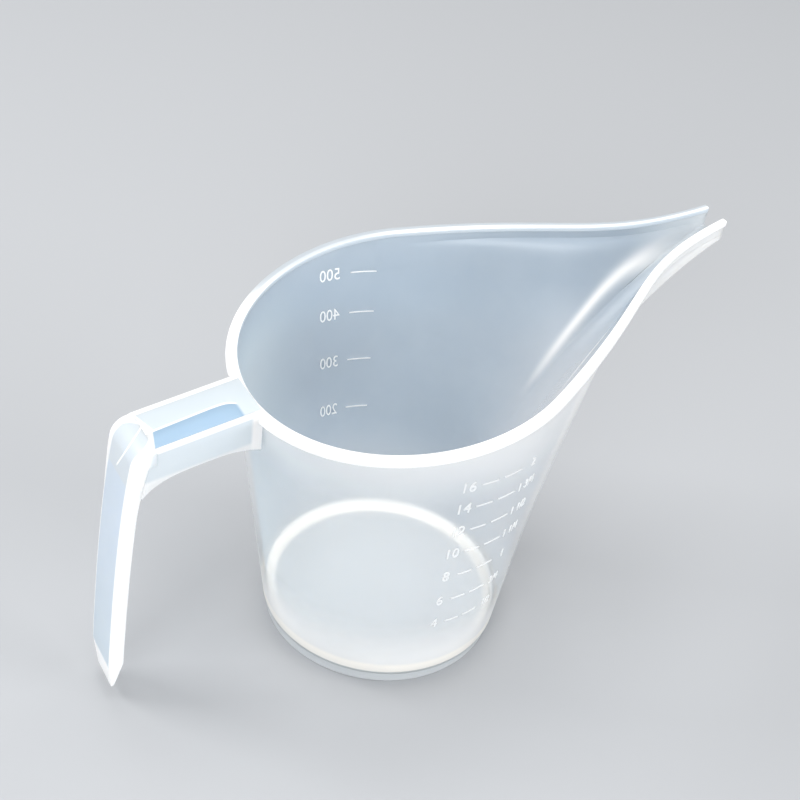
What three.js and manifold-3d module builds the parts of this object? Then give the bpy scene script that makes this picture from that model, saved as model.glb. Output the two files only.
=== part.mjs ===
// Long-spout measuring cup: a tapering round cup whose front grows into a long open spout,
// with a flat rim band and a hanging strap handle. One moulding in natural polypropylene,
// drawn as its named regions, which meet face to face.
// Millimetres, Z up from the table, X from the handle towards the spout, Y to the left of the spout.

import * as THREE from 'three';
import { mergeVertices } from 'three/addons/utils/BufferGeometryUtils.js';
import Module from 'manifold-3d';

const wasm = await Module();
wasm.setup();

// Foot and floor
const FOOT_RADIUS = 37.5; // outer radius of the foot ring on the table
const FOOT_HEIGHT = 4.2;
const FOOT_WALL = 2.2;
const FOOT_DRAFT = 0.2; // the ring widens by this much from the table to the floor
const FOOT_STEP = 0.9; // the wall stands out this far beyond the foot
const FLOOR_THICKNESS = 1.8;

// Cup wall
const WALL = 1.6;
const RIM_HEIGHT = 108; // top of the rim above the table, on the cup's axis
const RIM_SLOPE = 0.18; // the rim climbs by this much per mm towards the spout
const RIM_RADIUS = 50.6; // outside of the wall under the rim
const RIM_SHIFT = 1.7; // the rim's circle lies this far behind the foot's

// Spout, in plan and along its keel
const FLANK_ANGLE = 65; // degrees round from the front where the spout leaves the circle
const FLANK_REACH = 55; // straight run of the flank before it turns into the spout
const SPOUT_REACH = 106.7; // cut end of the spout, from the cup's axis
const TIP_HALF_WIDTH = 4.9;
const NECK_LENGTH = 38; // stretch over which the spout's sides straighten before the tip
const NECK_SPREAD = 4.3; // how much wider the spout is at the start of that stretch
const NOSE_BEYOND = 16; // the closed nose of the loft lies this far past the cut end
const KEEL_START = 45.7; // height at which the keel leaves the front of the wall
const KEEL_LIFT = 16.5; // how far it first follows the wall
const KEEL_RUN = 35; // how far it runs level with the rim at its end
const KEEL_DEPTH = 0.973; // height of the keel's end as a share of the height to the rim
const SIDE_SHARE = 0.84; // share of the circle's front arc that becomes the spout's side
const NOSE_START = 0.4; // share of what is left that becomes the straight piece past the cut
const FADE_POWER = 4; // the higher, the longer the circle's width stays in the spout's lower part

// Rim band
const RIM_THICKNESS = 2;
const RIM_FLANGE = 1.8; // how far the band stands out beyond the wall
const RIM_FLANGE_AT_TIP = 0.6;
const RIM_EASE = 0.5; // chamfer on the band's top edges

// Handle, seen from the side
const ARM_HALF_WIDTH = 9.4;
const ARM_RAISE = 1.2; // the arm's top over the rim's top where they meet
const ARM_SLOPE = 0.15; // the arm falls by this much per mm away from the cup
const WEB_THICKNESS = 1.6;
const PLATE_THICKNESS = 2;
const PLATE_DEPTH = 10; // from the arm's top to the plates' lower edge
const FLARE_DEPTH = 3; // the plates deepen by this much at the wall
const FLARE_LENGTH = 7;
const BEND_RADIUS = 6;
const BEND_STEPS = 6;
const GRIP_ROOT = 1.5; // the thick bar starts this far before the bend
const GRIP_THICKNESS = 4.5;
const GRIP_HALF_WIDTH = 7.6;
const GRIP_STEPS = 9; // stations along the bar's face
const GRIP_NARROWING = 0.35; // share of the face over which the bar narrows from the arm's width
const GRIP_EASE = 0.8; // chamfer along the bar's edges
const EASE_LIMIT = 0.4; // the chamfer takes at most this share of the bar's thickness
const ROOT_EASE = 0.05; // the same chamfer where the bar starts at the arm
const HANDLE_REACH = 96; // outermost face of the grip, from the cup's axis
const GRIP_TOP_REACH = 88.1; // where the lines of the arm's top and the grip's face cross
const GRIP_BOW_REACH = 93.2; // control point of the grip's bowed face
const GRIP_BOW_DROP = 26.4; // and how far it lies under the crossing of those lines
const TOE_START = 15; // height at which the grip's face ends and the toe starts
const TOE_HEIGHT = 4.3; // clearance of the toe over the table
const TOE_HALF_WIDTH = 5.8;
const TOE_THICKNESS = 1.2;
const TOE_TUCK = 1; // the toe's edge lies this far inside the grip's face
const TOE_SLANT = 0.6; // rise of the toe's end face for each mm of its thickness
const PLATE_CORNER_DROP = 14.6; // from the same crossing to the corner of plates and grip
const CORNER_PULL = new THREE.Vector2(-5, 6); // heading of the plates' lower edge at that corner

// Clearances between neighbouring regions
const FIT = 0.3; // where a region is shaped to a curved or leaning neighbour
const CUT_PAST = 0.04; // a cutting body reaches past the cut one by this share of the height
const SPOUT_SEAM = 50; // plane across the cup where wall and spout meet

// Facets
const BACK_STEPS = 26; // round half of the circle
const FLANK_STEPS = 20; // along one side of the spout
const NOSE_STEPS = 5; // round the nose past the cut end
const KEEL_STEPS = 12; // rings along the keel
const LOWER_RINGS = 1; // rings of the plain cone under the keel
const UPPER_RINGS = 1; // rings above the keel's end
const TURN_STEPS = 96; // round a turned piece

// Worked out from the sizes above
const floorTop = FOOT_HEIGHT + FLOOR_THICKNESS;
const rimUnder = RIM_HEIGHT - RIM_THICKNESS; // underside of the rim band, on the axis
const footTopRadius = FOOT_RADIUS + FOOT_STEP;
const wallLean = (RIM_RADIUS - footTopRadius) / (rimUnder - FOOT_HEIGHT);
const wallFootRadius = footTopRadius + wallLean * FLOOR_THICKNESS;
const flankStart = THREE.MathUtils.degToRad(FLANK_ANGLE);
const noseReach = SPOUT_REACH + NOSE_BEYOND;

const rimTop = (x) => RIM_HEIGHT + RIM_SLOPE * x;

// A level is 0 on the floor's top and 1 at the underside of the rim band
const heightAt = (level, x) => floorTop + level * (rimUnder + RIM_SLOPE * x - floorTop);
const levelOf = (x, z) => (z - floorTop) / (rimUnder + RIM_SLOPE * x - floorTop);
const radiusAt = (level) => wallFootRadius + (RIM_RADIUS - wallFootRadius) * level;
const centreAt = (level) => -RIM_SHIFT * level;

// One side of the spout in plan, from the circle to the middle of the nose. Each point is
// paired with the angle on the circle that it grows from.
function flankPoints() {
  const start = new THREE.Vector2(
    RIM_RADIUS * Math.cos(flankStart) - RIM_SHIFT,
    RIM_RADIUS * Math.sin(flankStart),
  );
  const heading = new THREE.Vector2(Math.sin(flankStart), -Math.cos(flankStart));
  const side = new THREE.CubicBezierCurve(
    start,
    start.clone().addScaledVector(heading, FLANK_REACH),
    new THREE.Vector2(SPOUT_REACH - NECK_LENGTH, TIP_HALF_WIDTH + NECK_SPREAD),
    new THREE.Vector2(SPOUT_REACH, TIP_HALF_WIDTH),
  );
  const nose = new THREE.EllipseCurve(
    noseReach - TIP_HALF_WIDTH, 0, TIP_HALF_WIDTH, TIP_HALF_WIDTH, Math.PI / 2, 0, true,
  );
  const sideShare = (i) => (SIDE_SHARE * (i + 1)) / FLANK_STEPS;
  const noseShare = (i) => THREE.MathUtils.lerp(NOSE_START, 1, i / NOSE_STEPS);
  const restShare = (i) => SIDE_SHARE + (1 - SIDE_SHARE) * noseShare(i);
  return [
    ...side.getPoints(FLANK_STEPS).slice(1).map((point, i) => ({ point, share: sideShare(i) })),
    ...nose.getPoints(NOSE_STEPS).map((point, i) => ({ point, share: restShare(i) })),
  ];
}

const flank = flankPoints();

// Left half of the wall's outline at a level, from the back to the front.
// grow 0 is a plain circle and grow 1 the full spout; the circle's width fades out sooner
// than its reach, so that no point near the tip bulges.
function halfOutline(level, grow) {
  const radius = radiusAt(level);
  const centre = centreAt(level);
  const back = [];
  for (let i = 0; i <= BACK_STEPS; i++) {
    const angle = THREE.MathUtils.lerp(Math.PI, flankStart, i / BACK_STEPS);
    back.push(new THREE.Vector2(centre + radius * Math.cos(angle), radius * Math.sin(angle)));
  }
  const scale = radius / RIM_RADIUS;
  const fade = (1 - grow) * (1 - grow ** FADE_POWER);
  const front = flank.map(({ point, share }) => {
    const angle = flankStart * (1 - share);
    return new THREE.Vector2(
      THREE.MathUtils.lerp(centre + radius * Math.cos(angle), point.x * scale, grow),
      THREE.MathUtils.lerp(point.y * scale, radius * Math.sin(angle), fade),
    );
  });
  return [...back, ...front];
}

// The whole outline as a closed ring of points in space, counter-clockwise from the back
function ring(level, grow) {
  const left = halfOutline(level, grow);
  const right = left.map(({ x, y }) => new THREE.Vector3(x, -y, heightAt(level, x)));
  const backAgain = left.slice(1, -1).reverse();
  return [...right, ...backAgain.map(({ x, y }) => new THREE.Vector3(x, y, heightAt(level, x)))];
}

// Keel of the spout in side view, from the front of the wall to the end of the nose
function keelPoints() {
  const frontAt = (level) => {
    const x = centreAt(level) + radiusAt(level);
    return new THREE.Vector2(x, heightAt(level, x));
  };
  const startLevel = levelOf(footTopRadius, KEEL_START);
  const start = frontAt(startLevel);
  const alongWall = frontAt(startLevel + 0.05).sub(start).normalize();
  const endX = (noseReach * radiusAt(KEEL_DEPTH)) / RIM_RADIUS;
  const end = new THREE.Vector2(endX, heightAt(KEEL_DEPTH, endX));
  const alongRim = new THREE.Vector2(1, RIM_SLOPE * KEEL_DEPTH).normalize();
  return new THREE.CubicBezierCurve(
    start,
    start.clone().addScaledVector(alongWall, KEEL_LIFT),
    end.clone().addScaledVector(alongRim, -KEEL_RUN),
    end,
  ).getPoints(KEEL_STEPS);
}

// Levels and spout growth of all rings, from the floor's top to the rim band
function ringList() {
  const keel = keelPoints().map(({ x, y: z }) => {
    const level = levelOf(x, z);
    const front = centreAt(level) + radiusAt(level);
    const reach = (noseReach * radiusAt(level)) / RIM_RADIUS;
    return { level, grow: (x - front) / (reach - front) };
  });
  const list = [];
  for (let i = 0; i < LOWER_RINGS; i++) {
    list.push({ level: (keel[0].level * i) / LOWER_RINGS, grow: 0 });
  }
  list.push(...keel);
  for (let i = 1; i <= UPPER_RINGS; i++) {
    list.push({ level: THREE.MathUtils.lerp(KEEL_DEPTH, 1, i / UPPER_RINGS), grow: 1 });
  }
  return list;
}

// Grid of points moved along the surface's own normal, outwards for a positive distance
function offsetGrid(grid, distance) {
  const rows = grid.length;
  const columns = grid[0].length;
  return grid.map((row, i) => row.map((point, j) => {
    const along = row[(j + 1) % columns].clone().sub(row[(j + columns - 1) % columns]);
    const up = grid[Math.min(i + 1, rows - 1)][j].clone().sub(grid[Math.max(i - 1, 0)][j]);
    const normal = along.cross(up).normalize();
    return point.clone().addScaledVector(normal, distance);
  }));
}

// Closed body from rings of points: walls between the rings, and a ladder of flat strips
// between the two halves of the first and last ring
function loftGeometry(grid) {
  const columns = grid[0].length;
  const positions = grid.flat().flatMap((p) => [p.x, p.y, p.z]);
  const faces = [];
  for (let i = 0; i < grid.length - 1; i++) {
    for (let j = 0; j < columns; j++) {
      const a = i * columns + j;
      const b = i * columns + ((j + 1) % columns);
      faces.push(a, b, a + columns, b, b + columns, a + columns);
    }
  }
  const top = (grid.length - 1) * columns;
  const front = columns / 2;
  for (let j = 0; j < front; j++) {
    const left = columns - j;
    if (j > 0) {
      faces.push(j, left, left - 1);
      faces.push(top + j, top + left - 1, top + left);
    }
    if (j < front - 1) {
      faces.push(j, left - 1, j + 1);
      faces.push(top + j, top + j + 1, top + left - 1);
    }
  }
  const geometry = new THREE.BufferGeometry();
  geometry.setAttribute('position', new THREE.Float32BufferAttribute(positions, 3));
  geometry.setIndex(faces);
  return geometry;
}

// Closed hoop: a profile of [outward, up] points swept round the rim's outline
function hoopGeometry(profileAt) {
  const path = ring(1, 1);
  const count = path.length;
  const positions = [];
  const faces = [];
  path.forEach((point, j) => {
    const next = path[(j + 1) % count];
    const last = path[(j + count - 1) % count];
    const outward = new THREE.Vector3(next.y - last.y, last.x - next.x, 0).normalize();
    for (const [out, up] of profileAt(point)) {
      const x = point.x + outward.x * out;
      positions.push(x, point.y + outward.y * out, rimTop(x) - RIM_THICKNESS + up);
    }
  });
  const size = positions.length / 3 / count;
  for (let j = 0; j < count; j++) {
    for (let k = 0; k < size; k++) {
      const a = j * size + k;
      const b = j * size + ((k + 1) % size);
      const c = ((j + 1) % count) * size + k;
      const d = ((j + 1) % count) * size + ((k + 1) % size);
      faces.push(a, c, b, b, c, d);
    }
  }
  const geometry = new THREE.BufferGeometry();
  geometry.setAttribute('position', new THREE.Float32BufferAttribute(positions, 3));
  geometry.setIndex(faces);
  return geometry;
}

function toSolid(geometry) {
  const bare = geometry.clone();
  bare.deleteAttribute('normal');
  bare.deleteAttribute('uv');
  const merged = mergeVertices(bare, 1e-4);
  const solid = new wasm.Manifold(new wasm.Mesh({
    numProp: 3,
    vertProperties: new Float32Array(merged.attributes.position.array),
    triVerts: new Uint32Array(merged.index.array),
  }));
  return solid;
}

function toGeometry(solid) {
  const mesh = solid.getMesh();
  const geometry = new THREE.BufferGeometry();
  geometry.setAttribute('position', new THREE.Float32BufferAttribute(mesh.vertProperties, 3));
  geometry.setIndex(new THREE.Uint32BufferAttribute(mesh.triVerts, 1));
  geometry.computeVertexNormals();
  return geometry;
}

// Block between two planes across X, larger than the cup in Y and Z
function slab(fromX, toX) {
  const size = 4 * RIM_HEIGHT;
  const box = new THREE.BoxGeometry(toX - fromX, size, size);
  box.translate((fromX + toX) / 2, 0, 0);
  return toSolid(box);
}

// Foot ring and floor, turned about the cup's axis
function turned(profile) {
  const points = profile.map(([r, z]) => new THREE.Vector2(r, z));
  const geometry = new THREE.LatheGeometry(points, TURN_STEPS);
  geometry.rotateX(Math.PI / 2);
  return toSolid(geometry);
}

const footRing = turned([
  [FOOT_RADIUS - FOOT_WALL, 0],
  [FOOT_RADIUS, 0],
  [FOOT_RADIUS + FOOT_DRAFT, FOOT_HEIGHT],
  [FOOT_RADIUS - FOOT_WALL - FOOT_DRAFT, FOOT_HEIGHT],
  [FOOT_RADIUS - FOOT_WALL, 0],
]);

const cupFloor = turned([
  [0, FOOT_HEIGHT],
  [footTopRadius, FOOT_HEIGHT],
  [wallFootRadius, floorTop],
  [0, floorTop],
]);

// Shell of wall and spout: the outer loft less the same loft moved in by the wall
const rings = ringList();
const outerGrid = rings.map(({ level, grow }) => ring(level, grow));
const longGrid = [
  ring(-CUT_PAST, 0),
  ...outerGrid,
  ring(1 + CUT_PAST, 1),
];
const hollow = toSolid(loftGeometry(offsetGrid(longGrid, -WALL)));
const outer = toSolid(loftGeometry(outerGrid));
const pastTip = slab(SPOUT_REACH, noseReach + RIM_HEIGHT);
const shell = outer.subtract(hollow).subtract(pastTip);
const cupWall = shell.subtract(slab(SPOUT_SEAM, noseReach + RIM_HEIGHT));
const spout = shell.intersect(slab(SPOUT_SEAM, SPOUT_REACH));

// Rim band, narrower towards the tip
const bandEdge = (x) => {
  const share = THREE.MathUtils.smoothstep(x, 0, SPOUT_REACH);
  return THREE.MathUtils.lerp(RIM_FLANGE, RIM_FLANGE_AT_TIP, share);
};
const rimBand = toSolid(hoopGeometry(({ x }) => [
  [-WALL, 0],
  [bandEdge(x), 0],
  [bandEdge(x), RIM_THICKNESS - RIM_EASE],
  [bandEdge(x) - RIM_EASE, RIM_THICKNESS],
  [-WALL + RIM_EASE, RIM_THICKNESS],
  [-WALL, RIM_THICKNESS - RIM_EASE],
]));
const rimFlange = rimBand.subtract(pastTip);

// Handle in side view: x is the reach away from the cup, z the height
const bandBack = RIM_SHIFT + RIM_RADIUS + RIM_FLANGE;
const armTop = (reach) => rimTop(-bandBack) + ARM_RAISE - ARM_SLOPE * (reach - bandBack);
const corner = new THREE.Vector2(GRIP_TOP_REACH, armTop(GRIP_TOP_REACH));
const bow = new THREE.Vector2(GRIP_BOW_REACH, corner.y - GRIP_BOW_DROP);
const alongArm = new THREE.Vector2(-1, ARM_SLOPE).normalize();
const alongGrip = bow.clone().sub(corner).normalize();
const bendAngle = Math.PI - Math.acos(alongArm.dot(alongGrip));
const tangent = BEND_RADIUS * Math.tan(bendAngle / 2);
const bendStart = corner.clone().addScaledVector(alongArm, tangent);
const bendEnd = corner.clone().addScaledVector(alongGrip, tangent);
const faceEnd = new THREE.Vector2(HANDLE_REACH, TOE_START);
const faceLine = new THREE.QuadraticBezierCurve(bendEnd, bow, faceEnd);

// Stations along the grip: a point on its outer face, the inward direction, the half width
function gripStations() {
  const bendCentre = bendStart.clone().add(
    new THREE.Vector2(-ARM_SLOPE, -1).normalize().multiplyScalar(BEND_RADIUS),
  );
  const stations = [];
  for (let i = 0; i <= BEND_STEPS; i++) {
    const angle = Math.atan2(1, ARM_SLOPE) - (bendAngle * i) / BEND_STEPS;
    const inward = new THREE.Vector2(-Math.cos(angle), -Math.sin(angle));
    const face = bendCentre.clone().addScaledVector(inward, -BEND_RADIUS);
    stations.push({ face, inward, half: ARM_HALF_WIDTH });
  }
  for (let i = 1; i <= GRIP_STEPS; i++) {
    const t = i / GRIP_STEPS;
    const heading = faceLine.getTangent(t);
    const inward = new THREE.Vector2(heading.y, -heading.x);
    const narrow = THREE.MathUtils.smoothstep(t, 0, GRIP_NARROWING);
    const half = THREE.MathUtils.lerp(ARM_HALF_WIDTH, GRIP_HALF_WIDTH, narrow);
    stations.push({ face: faceLine.getPoint(t), inward, half });
  }
  return stations;
}

// Section of the bar at a station, an oblong with eased edges
function barSection(face, back, half, ease = GRIP_EASE) {
  const deep = back.clone().sub(face);
  const share = Math.min(ease / deep.length(), EASE_LIMIT);
  const rows = [
    [0, half - ease],
    [share, half],
    [1 - share, half],
    [1, half - ease],
  ];
  const points = rows.map(([depth, y]) => {
    const p = face.clone().addScaledVector(deep, depth);
    return new THREE.Vector3(-p.x, y, p.y);
  });
  const mirrored = points.map((p) => new THREE.Vector3(p.x, -p.y, p.z)).reverse();
  return [...points, ...mirrored];
}

const stations = gripStations();
const lastStation = stations[stations.length - 1];
const toeFace = new THREE.Vector2(HANDLE_REACH - TOE_TUCK, TOE_HEIGHT);
const toeBack = toeFace.clone().add(new THREE.Vector2(-1, TOE_SLANT).multiplyScalar(TOE_THICKNESS));
const rootReach = bendStart.x - GRIP_ROOT;
const rootFace = new THREE.Vector2(rootReach, armTop(rootReach));
const rootBack = rootFace.clone().setY(rootFace.y - GRIP_THICKNESS * Math.hypot(1, ARM_SLOPE));

// Sections of the bar from the arm's end to the toe, grown by a clearance on the cup's side
const gripSections = (grow) => [
  barSection(
    rootFace,
    rootBack.clone().setY(rootBack.y - grow),
    ARM_HALF_WIDTH + grow,
    ROOT_EASE,
  ),
  ...stations.map(({ face, inward, half }) => barSection(
    face,
    face.clone().addScaledVector(inward, GRIP_THICKNESS + grow),
    half + grow,
  )),
  barSection(toeFace, toeBack, TOE_HALF_WIDTH + grow),
];

// Closed body through sections that all have the same number of points
function sectionGeometry(sections) {
  const size = sections[0].length;
  const positions = sections.flat().flatMap((p) => [p.x, p.y, p.z]);
  const faces = [];
  for (let i = 0; i < sections.length - 1; i++) {
    for (let j = 0; j < size; j++) {
      const a = i * size + j;
      const b = i * size + ((j + 1) % size);
      faces.push(a, b, a + size, b, b + size, a + size);
    }
  }
  const end = (sections.length - 1) * size;
  for (let j = 1; j < size - 1; j++) {
    faces.push(0, j + 1, j);
    faces.push(end, end + j, end + j + 1);
  }
  const geometry = new THREE.BufferGeometry();
  geometry.setAttribute('position', new THREE.Float32BufferAttribute(positions, 3));
  geometry.setIndex(faces);
  return geometry;
}

const grip = toSolid(sectionGeometry(gripSections(0)));
const gripSpace = toSolid(sectionGeometry(gripSections(FIT)));

// Flat plate in the handle's side view, from one distance across to another
function sidePlate(shape, fromY, toY) {
  const geometry = new THREE.ExtrudeGeometry(shape, {
    depth: toY - fromY,
    bevelEnabled: false,
    curveSegments: 12,
  });
  geometry.rotateX(Math.PI / 2);
  geometry.rotateZ(Math.PI);
  geometry.translate(0, fromY, 0);
  return toSolid(geometry);
}

// The space of wall and rim, with the clearance that the handle keeps to them
const rimSpace = toSolid(hoopGeometry(({ x }) => [
  [-RIM_RADIUS / 2, -FIT],
  [bandEdge(x) + FIT, -FIT],
  [bandEdge(x) + FIT, RIM_THICKNESS + PLATE_DEPTH],
  [-RIM_RADIUS / 2, RIM_THICKNESS + PLATE_DEPTH],
]));
const cupSpace = toSolid(loftGeometry(offsetGrid(longGrid, FIT))).add(rimSpace);
const insideWall = RIM_SHIFT + RIM_RADIUS - WALL;

const webShape = new THREE.Shape();
webShape.moveTo(insideWall, armTop(insideWall));
webShape.lineTo(rootFace.x, rootFace.y);
webShape.lineTo(rootFace.x, rootFace.y - WEB_THICKNESS);
webShape.lineTo(insideWall, armTop(insideWall) - WEB_THICKNESS);
const plateInner = ARM_HALF_WIDTH - PLATE_THICKNESS;
const armWeb = sidePlate(webShape, -plateInner, plateInner).subtract(cupSpace);

// Plate: along the arm's top, down the back of the bend, and back along the lower edge
const plateShape = new THREE.Shape();
const lowEdge = (reach) => armTop(reach) - PLATE_DEPTH;
plateShape.moveTo(insideWall, armTop(insideWall));
plateShape.lineTo(rootFace.x, rootFace.y);
plateShape.lineTo(rootBack.x, rootBack.y);
const barBack = stations.map(({ face, inward }) => face.clone()
  .addScaledVector(inward, GRIP_THICKNESS));
const cornerHeight = corner.y - PLATE_CORNER_DROP;
const below = barBack.findIndex((p) => p.y < cornerHeight);
barBack.slice(0, below).forEach((p) => plateShape.lineTo(p.x, p.y));
const [high, low] = [barBack[below - 1], barBack[below]];
const cornerReach = THREE.MathUtils.mapLinear(cornerHeight, high.y, low.y, high.x, low.x);
plateShape.lineTo(cornerReach, cornerHeight);
const flareEnd = bandBack + FLARE_LENGTH;
const midEdge = (cornerReach + flareEnd) / 2;
plateShape.bezierCurveTo(
  cornerReach + CORNER_PULL.x, cornerHeight + CORNER_PULL.y,
  midEdge, lowEdge(midEdge),
  flareEnd, lowEdge(flareEnd),
);
plateShape.quadraticCurveTo(
  bandBack, lowEdge(bandBack),
  insideWall, lowEdge(insideWall) - FLARE_DEPTH,
);
const neighbours = cupSpace.add(gripSpace);
const armPlateLeft = sidePlate(plateShape, plateInner, ARM_HALF_WIDTH).subtract(neighbours);
const armPlateRight = sidePlate(plateShape, -ARM_HALF_WIDTH, -plateInner).subtract(neighbours);

// Natural polypropylene: milky, whiter where it is thicker
const plastic = (color) => new THREE.MeshStandardMaterial({
  color,
  roughness: 0.35,
  metalness: 0,
});

const cup = new THREE.Group();
cup.name = 'long_spout_measuring_cup';

function region(name, solid, color) {
  const mesh = new THREE.Mesh(toGeometry(solid), plastic(color));
  mesh.name = name;
  cup.add(mesh);
}

region('foot_ring', footRing, 0xe9eae7);
region('cup_floor', cupFloor, 0xdbdfe2);
region('cup_wall', cupWall, 0xd9dde2);
region('spout', spout, 0xe2e7ea);
region('rim_flange', rimFlange, 0xf4f7f8);
region('arm_web', armWeb, 0xd0dfee);
region('arm_plate_left', armPlateLeft, 0xdbe4ea);
region('arm_plate_right', armPlateRight, 0xdbe4ea);
region('grip', grip, 0xe0e8ee);

// The origin lies on the table, midway between the spout's end and the grip's face
cup.position.x = (HANDLE_REACH - SPOUT_REACH) / 2;

export default cup;
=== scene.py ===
# %% [markdown]
# # A long-spout measuring cup in milky plastic
#
# The cup is one injection moulding in natural polypropylene, the milky plastic that lets some
# light through. This lesson dresses the cup's CAD model: it loads the model, sets the camera and
# a plain studio round it, mixes the plastics, and then makes the visible surfaces. Those that
# follow a rule are made with Geometry Nodes, and the turned, lofted and flat ones from points.

# %% Load the CAD model
import bpy
import bmesh
import math
from mathutils import Matrix, Vector


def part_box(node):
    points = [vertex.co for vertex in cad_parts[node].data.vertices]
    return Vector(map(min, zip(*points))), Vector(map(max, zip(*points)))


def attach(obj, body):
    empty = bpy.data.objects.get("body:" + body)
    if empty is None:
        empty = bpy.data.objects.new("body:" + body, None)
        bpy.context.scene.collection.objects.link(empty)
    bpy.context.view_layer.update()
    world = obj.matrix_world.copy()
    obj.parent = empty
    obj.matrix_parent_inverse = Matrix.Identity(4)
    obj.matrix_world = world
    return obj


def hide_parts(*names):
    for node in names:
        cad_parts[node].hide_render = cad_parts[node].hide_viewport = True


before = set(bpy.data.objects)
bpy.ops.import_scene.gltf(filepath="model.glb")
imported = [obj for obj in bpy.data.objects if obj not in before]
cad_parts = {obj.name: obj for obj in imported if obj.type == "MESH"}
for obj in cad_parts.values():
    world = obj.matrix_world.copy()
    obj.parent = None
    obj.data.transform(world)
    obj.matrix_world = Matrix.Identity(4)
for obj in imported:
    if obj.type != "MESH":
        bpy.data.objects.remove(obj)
scene = bpy.context.scene
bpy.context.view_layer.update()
foot_low, foot_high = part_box("foot_ring")
AXIS_X = (foot_low.x + foot_high.x) / 2  # paints and sizes below count x from this axis


def placed(name, data):
    """A new object for a mesh, a lamp or a camera, in the scene."""
    made = bpy.data.objects.new(name, data)
    scene.collection.objects.link(made)
    return made


print("the cup's axis stands at x =", round(AXIS_X * 1000, 2), "mm")

# %% [markdown]
# ## The camera
#
# The cup was photographed from above and from its left, with the spout pointing away to the
# right. The viewpoint comes from the picture itself: the rim and the foot are circles of a known
# shape, so where they lie in the picture fixes where the camera stood. A camera in Blender looks
# along its own -Z axis, and three turns, about Z, X and Z again, aim it.

# %% Camera at the photograph's viewpoint
VIEWPOINT = Vector((-0.19555, -0.27847, 0.34140))
TURNS = (("Z", -34.0756), ("X", 52.4861), ("Z", 7.9707))  # axis and degrees
FOCAL_LENGTH, SENSOR_WIDTH = 63.954, 36  # in millimetres, as on a lens

lens = bpy.data.cameras.new("camera")
lens.lens = FOCAL_LENGTH
lens.sensor_width = SENSOR_WIDTH
lens.clip_end = 20
camera = placed("camera", lens)
aim = Matrix.Translation(VIEWPOINT)
for axis, degrees in TURNS:
    aim = aim @ Matrix.Rotation(math.radians(degrees), 4, axis)
camera.matrix_world = aim
scene.camera = camera
print("camera to cup:", round((VIEWPOINT - Vector((AXIS_X, 0, 0.06))).length * 1000), "mm")

# %% [markdown]
# ## Nodes written as sums
#
# Materials and Geometry Nodes are both graphs of sockets. A small class that stands for a socket
# and answers to +, -, * and / lets a rule be written as one line of Python, and adds the Math
# nodes behind it. One more method adds any other node: it takes the node's type, what goes into
# its sockets, and its settings.

# %% A graph and its values
def operator(operation, swapped=False):
    """A Python operator that adds a Math node; swapped puts the other term first."""
    def used(value, other):
        terms = (other, value) if swapped else (value, other)
        return value.graph.math(operation, *terms)
    return used


class Value:
    """A socket that can be used in sums."""

    def __init__(self, graph, socket):
        self.graph = graph
        self.socket = socket

    __add__ = __radd__ = operator("ADD")
    __mul__ = __rmul__ = operator("MULTIPLY")
    __sub__, __rsub__ = operator("SUBTRACT"), operator("SUBTRACT", swapped=True)
    __pow__, __rpow__ = operator("POWER"), operator("POWER", swapped=True)
    __truediv__ = operator("DIVIDE")

    def __neg__(self):
        return self * -1

    def math(self, operation, *others):
        return self.graph.math(operation, self, *others)

    def clip(self, low=0.0, high=1.0):
        return self.math("MAXIMUM", low).math("MINIMUM", high)


class Graph:
    """A node tree and the means to add to it."""

    def __init__(self, tree):
        self.tree = tree
        self.inputs = {}

    def add(self, kind, sockets=None, out=0, **settings):
        node = self.tree.nodes.new(kind)
        for name, value in settings.items():
            setattr(node, name, value)
        self.fill(node, sockets or {})
        return Value(self, node.outputs[out])

    def fill(self, node, sockets):
        """Puts values and links into a node's sockets."""
        for name, value in sockets.items():
            if isinstance(value, Value):
                self.tree.links.new(value.socket, node.inputs[name])
            else:
                node.inputs[name].default_value = value

    def math(self, operation, *terms):
        return self.add("ShaderNodeMath", dict(enumerate(terms)), operation=operation)

    def vector(self, x=0.0, y=0.0, z=0.0):
        return self.add("ShaderNodeCombineXYZ", {0: x, 1: y, 2: z})

    def split(self, vector):
        node = self.add("ShaderNodeSeparateXYZ", {0: vector}).socket.node
        return [Value(self, output) for output in node.outputs]

    def attribute(self, name):
        """A number that the mesh carries, for a shader."""
        return self.add("ShaderNodeAttribute", out=2, attribute_name=name)

    def ease(self, value, start, end):
        """0 up to start, 1 from end on, and a smooth step between."""
        return self.add("ShaderNodeMapRange", {0: value, 1: start, 2: end},
                        interpolation_type="SMOOTHSTEP")

    def line(self, off, fade):
        """1 where off is near 0, fading to 0 on both sides."""
        return 1.0 - self.ease(off.math("ABSOLUTE"), *fade)

    def blend(self, share, first, second):
        """A mix of two colours."""
        return self.add("ShaderNodeMix", {0: share, 6: first, 7: second}, out=2, data_type="RGBA")


def between(first, second, share):
    return first + (second - first) * share


# %% [markdown]
# ## Floor and light
#
# Milky plastic looks its best in wide, soft light. A large lamp stands on each side in front of
# the cup and a third hangs over it. A small one on the far side only draws the long bright streak
# in the spout, which is also painted in as a highlight. The surround gives even, dim light, but
# looks pale where the camera, a gloss or a clear surface sees it. The plain, pale floor takes the
# cup's soft shadow.

# %% The studio
def linear(*codes):
    """A screen colour, written 0 to 255, made ready for a shader."""
    shares = [code / 255 for code in codes]
    return (*[s / 12.92 if s <= 0.04045 else ((s + 0.055) / 1.055) ** 2.4 for s in shares], 1.0)


def lamp(name, place, target, size, watts):
    light = bpy.data.lights.new(name, "AREA")
    light.shape = "RECTANGLE"
    light.size, light.size_y = size
    light.energy = watts
    made = placed(name, light)
    made.location = place
    made.rotation_euler = (Vector(target) - Vector(place)).to_track_quat("-Z", "Y").to_euler()


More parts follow.
